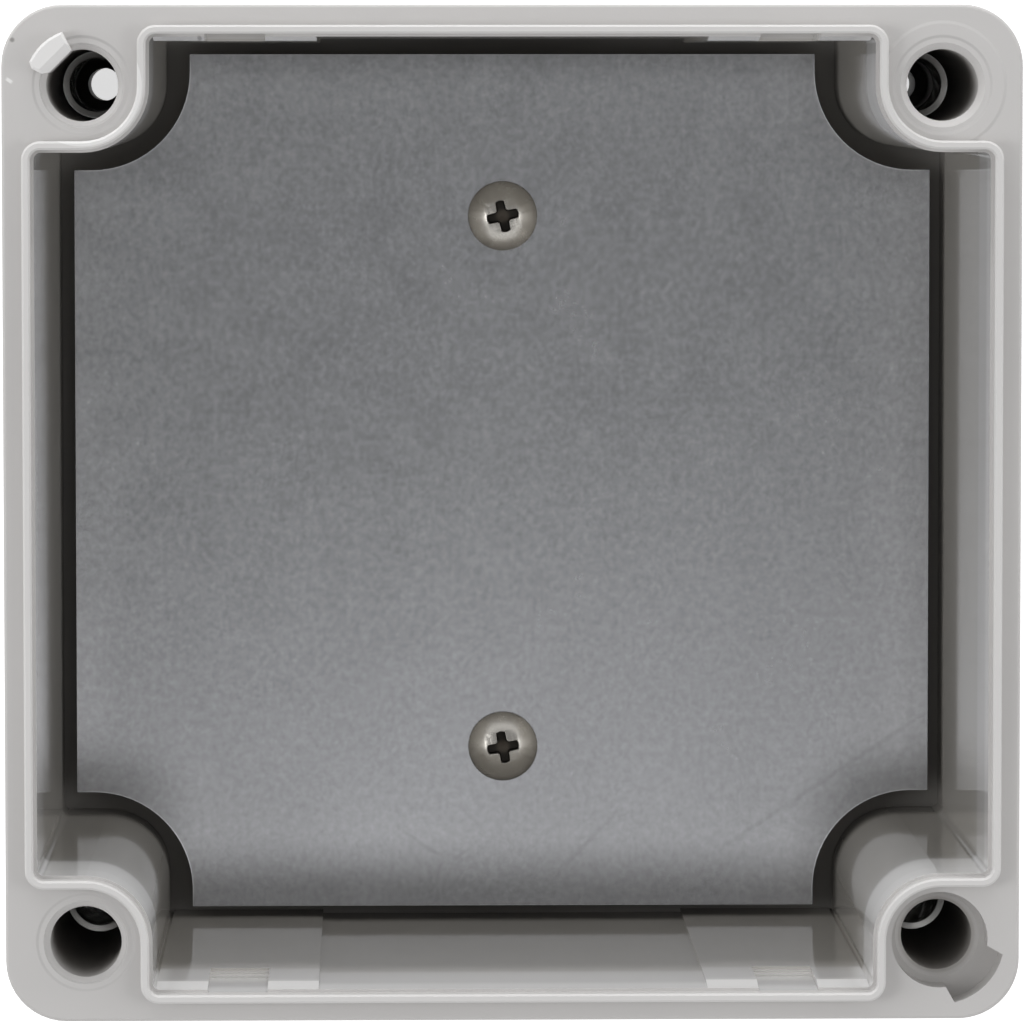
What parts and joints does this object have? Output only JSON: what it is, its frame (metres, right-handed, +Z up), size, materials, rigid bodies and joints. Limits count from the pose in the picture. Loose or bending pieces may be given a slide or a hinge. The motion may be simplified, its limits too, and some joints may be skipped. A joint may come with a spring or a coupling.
{
  "type": "enclosure base",
  "caption": "Square open plastic enclosure base with corner screw wells, a tongued rim and a galvanised mounting plate held by domed screws.",
  "frame": {"origin": "centre of the flat underside, on the plane that the box rests on", "axes": "+Z up out of the opening, +Y to the back (the picture's top), +X to the picture's right"},
  "size_m": [0.125, 0.125, 0.0806],
  "materials": {
    "housing_plastic": "light grey moulded ABS, smooth walls and a satin rim",
    "galvanised_sheet": "galvanised steel sheet, dull and finely mottled",
    "plated_screw": "nickel plated, lightly tarnished",
    "sleeve_metal": "nickel plated brass, turned",
    "insert_brass": "bare brass, turned and knurled"
  },
  "bodies": {
    "base": {"housing": "housing_plastic", "well_sleeve_front_left": "sleeve_metal", "well_sleeve_front_right": "sleeve_metal", "well_sleeve_back_left": "sleeve_metal", "well_sleeve_back_right": "sleeve_metal", "plate_insert_front": "insert_brass", "plate_insert_back": "insert_brass"},
    "plate": {"mounting_plate": "galvanised_sheet"},
    "front_screw": {"plate_screw_front": "plated_screw"},
    "back_screw": {"plate_screw_back": "plated_screw"}
  },
  "joints": [
    {"name": "plate_lift", "type": "slide", "parent": "base", "child": "plate", "axis": [0, 0, 1], "range_m": [0, 0.075]},
    {"name": "front_screw_out", "type": "slide", "parent": "plate", "child": "front_screw", "axis": [0, 0, 1], "range_m": [0, 0.0085]},
    {"name": "back_screw_out", "type": "slide", "parent": "plate", "child": "back_screw", "axis": [0, 0, 1], "range_m": [0, 0.0085]}
  ]
}
